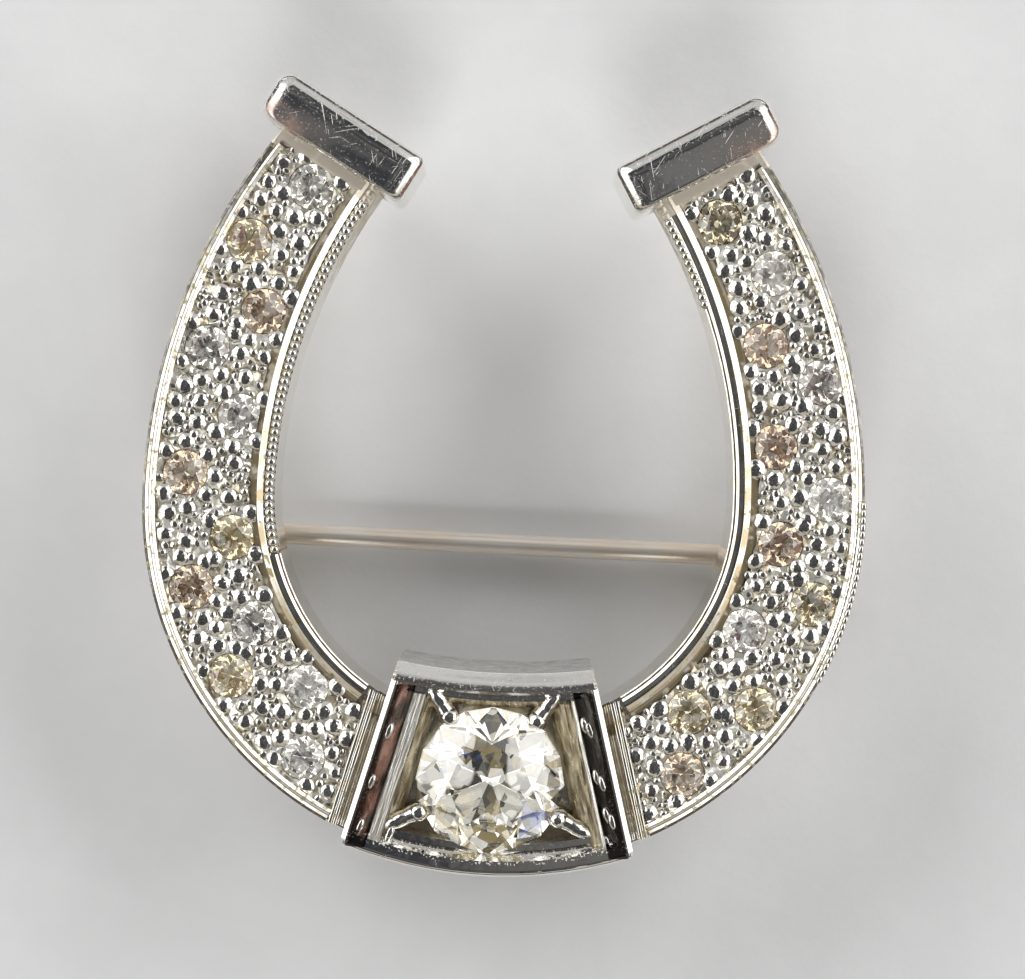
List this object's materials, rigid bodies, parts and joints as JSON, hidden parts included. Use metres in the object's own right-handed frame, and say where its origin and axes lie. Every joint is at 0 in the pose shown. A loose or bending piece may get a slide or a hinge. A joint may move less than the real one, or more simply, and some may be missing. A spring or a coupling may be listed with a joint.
{
  "type": "horseshoe brooch",
  "caption": "Diamond-set horseshoe brooch with polished heel caps, a raised toe plaque holding a larger round stone, and a hinged pin and a catch on its back.",
  "frame": {"origin": "on the surface the brooch lies on, below the middle of its box, with the face up", "axes": "+Z out of the face, +Y from the toe plaque to the heel caps, +X to the viewer's right"},
  "size_m": [0.0238, 0.026, 0.0053],
  "materials": {
    "white_gold": "polished white gold",
    "pin_gold": "drawn rose-tinted gold wire",
    "centre_diamond": "cut and polished",
    "small_diamond": "cut and polished"
  },
  "bodies": {
    "shoe": {"horseshoe": "white_gold", "hinge_rivet": "white_gold", "stone_centre": "centre_diamond", "stone_left_01": "small_diamond", "stone_left_02": "small_diamond", "stone_left_03": "small_diamond", "stone_left_04": "small_diamond", "stone_left_05": "small_diamond", "stone_left_06": "small_diamond", "stone_left_07": "small_diamond", "stone_left_08": "small_diamond", "stone_left_09": "small_diamond", "stone_left_10": "small_diamond", "stone_left_11": "small_diamond", "stone_left_12": "small_diamond", "stone_right_01": "small_diamond", "stone_right_02": "small_diamond", "stone_right_03": "small_diamond", "stone_right_04": "small_diamond", "stone_right_05": "small_diamond", "stone_right_06": "small_diamond", "stone_right_07": "small_diamond", "stone_right_08": "small_diamond", "stone_right_09": "small_diamond", "stone_right_10": "small_diamond", "stone_right_11": "small_diamond", "stone_right_12": "small_diamond"},
    "pin": {"pin_stem": "pin_gold"}
  },
  "joints": [
    {"name": "pin_hinge", "type": "hinge", "parent": "shoe", "child": "pin", "pos_m": [0.0096, -0.00226, 0.00085], "axis": [0, -1, 0], "range_deg": [0, 100]}
  ]
}
